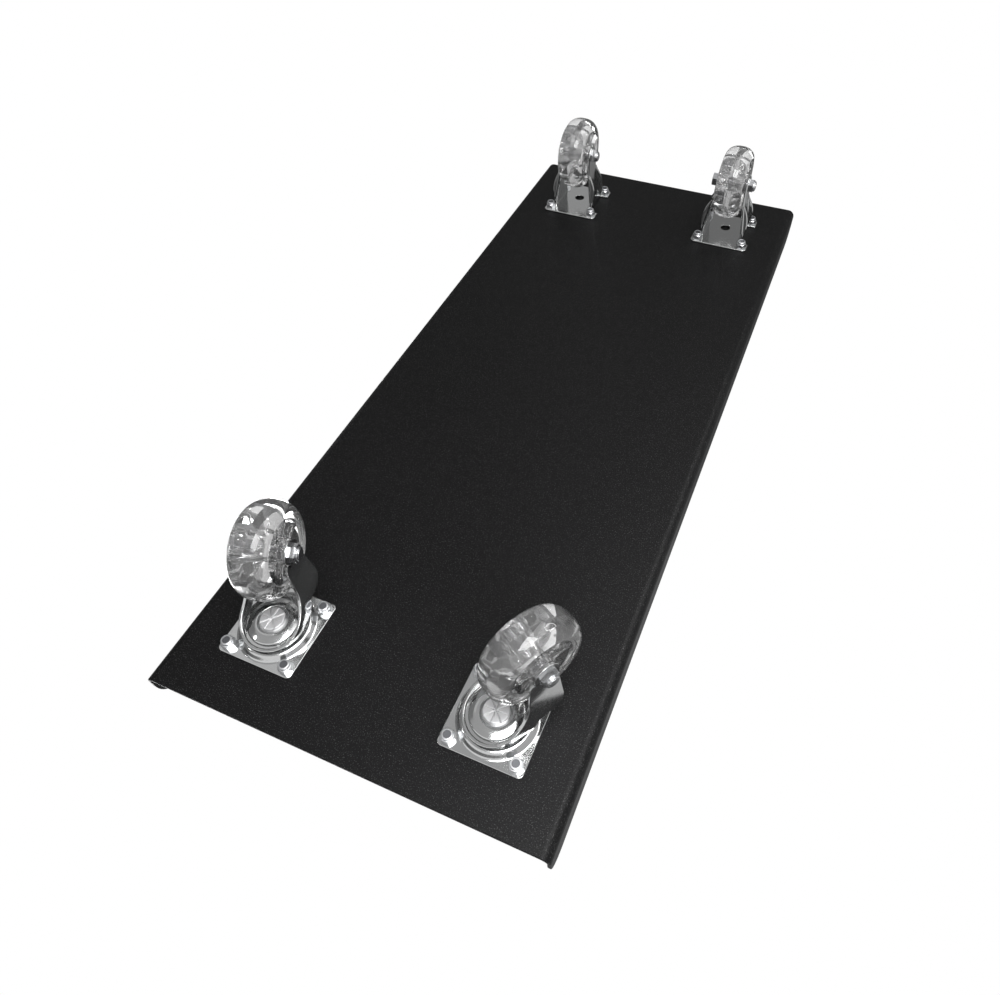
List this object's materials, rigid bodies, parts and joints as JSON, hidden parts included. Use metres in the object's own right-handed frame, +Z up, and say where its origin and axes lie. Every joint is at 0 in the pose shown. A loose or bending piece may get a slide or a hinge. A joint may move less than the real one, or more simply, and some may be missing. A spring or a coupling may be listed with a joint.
{
  "type": "equipment caster dolly",
  "caption": "Low equipment dolly: a folded black sheet-metal tray with upturned side lips, on bright plated swivel and fixed casters with clear wheels.",
  "frame": {"origin": "On the floor, midway between the tray's ends and its sides", "axes": "+Z up from the floor to the tray's lips, +Y along the tray from the swivel end to the rigid end, +X across it to the right"},
  "size_m": [0.334, 0.8, 0.1405],
  "materials": {
    "deck_coat": "matt black powder coat with a fine texture",
    "bright_plating": "bright plated pressed steel",
    "zinc_fastener": "bright zinc plating",
    "bearing_steel": "ground steel, lightly oiled",
    "clear_core": "clear moulded plastic",
    "clear_tyre": "clear glossy moulded tyre"
  },
  "bodies": {
    "deck": {"deck_tray": "deck_coat", "plate_screws": "zinc_fastener", "plate_nuts": "zinc_fastener", "right_swivel_plate": "bright_plating", "right_swivel_kingpin": "bright_plating", "right_swivel_bearing_cap": "bright_plating", "right_rigid_bracket": "bright_plating", "right_rigid_axle_bolt": "zinc_fastener", "right_rigid_axle_nut": "zinc_fastener", "right_rigid_axle_sleeve": "bearing_steel", "left_swivel_plate": "bright_plating", "left_swivel_kingpin": "bright_plating", "left_swivel_bearing_cap": "bright_plating", "left_rigid_bracket": "bright_plating", "left_rigid_axle_bolt": "zinc_fastener", "left_rigid_axle_nut": "zinc_fastener", "left_rigid_axle_sleeve": "bearing_steel"},
    "right_fork": {"right_swivel_fork": "bright_plating", "right_swivel_upper_balls": "bearing_steel", "right_swivel_lower_balls": "bearing_steel", "right_swivel_axle_bolt": "zinc_fastener", "right_swivel_axle_nut": "zinc_fastener", "right_swivel_axle_sleeve": "bearing_steel"},
    "right_swivel_wheel": {"right_swivel_wheel_core": "clear_core", "right_swivel_wheel_tread": "clear_tyre"},
    "right_rigid_wheel": {"right_rigid_wheel_core": "clear_core", "right_rigid_wheel_tread": "clear_tyre"},
    "left_fork": {"left_swivel_fork": "bright_plating", "left_swivel_upper_balls": "bearing_steel", "left_swivel_lower_balls": "bearing_steel", "left_swivel_axle_bolt": "zinc_fastener", "left_swivel_axle_nut": "zinc_fastener", "left_swivel_axle_sleeve": "bearing_steel"},
    "left_swivel_wheel": {"left_swivel_wheel_core": "clear_core", "left_swivel_wheel_tread": "clear_tyre"},
    "left_rigid_wheel": {"left_rigid_wheel_core": "clear_core", "left_rigid_wheel_tread": "clear_tyre"}
  },
  "joints": [
    {"name": "right_swivel", "type": "hinge", "parent": "deck", "child": "right_fork", "pos_m": [0.0955, -0.327, 0.0925], "axis": [0, 0, 1], "continuous": true},
    {"name": "right_swivel_roll", "type": "hinge", "parent": "right_fork", "child": "right_swivel_wheel", "pos_m": [0.10336, -0.29546, 0.0385], "axis": [0.9703, -0.2419, 0], "continuous": true},
    {"name": "left_swivel", "type": "hinge", "parent": "deck", "child": "left_fork", "pos_m": [-0.0955, -0.327, 0.0925], "axis": [0, 0, 1], "continuous": true},
    {"name": "left_swivel_roll", "type": "hinge", "parent": "left_fork", "child": "left_swivel_wheel", "pos_m": [-0.11126, -0.29857, 0.0385], "axis": [0.8746, 0.4848, 0], "continuous": true},
    {"name": "right_rigid_roll", "type": "hinge", "parent": "deck", "child": "right_rigid_wheel", "pos_m": [0.0955, 0.3245, 0.0385], "axis": [1, 0, 0], "continuous": true},
    {"name": "left_rigid_roll", "type": "hinge", "parent": "deck", "child": "left_rigid_wheel", "pos_m": [-0.0955, 0.3245, 0.0385], "axis": [1, 0, 0], "continuous": true}
  ]
}
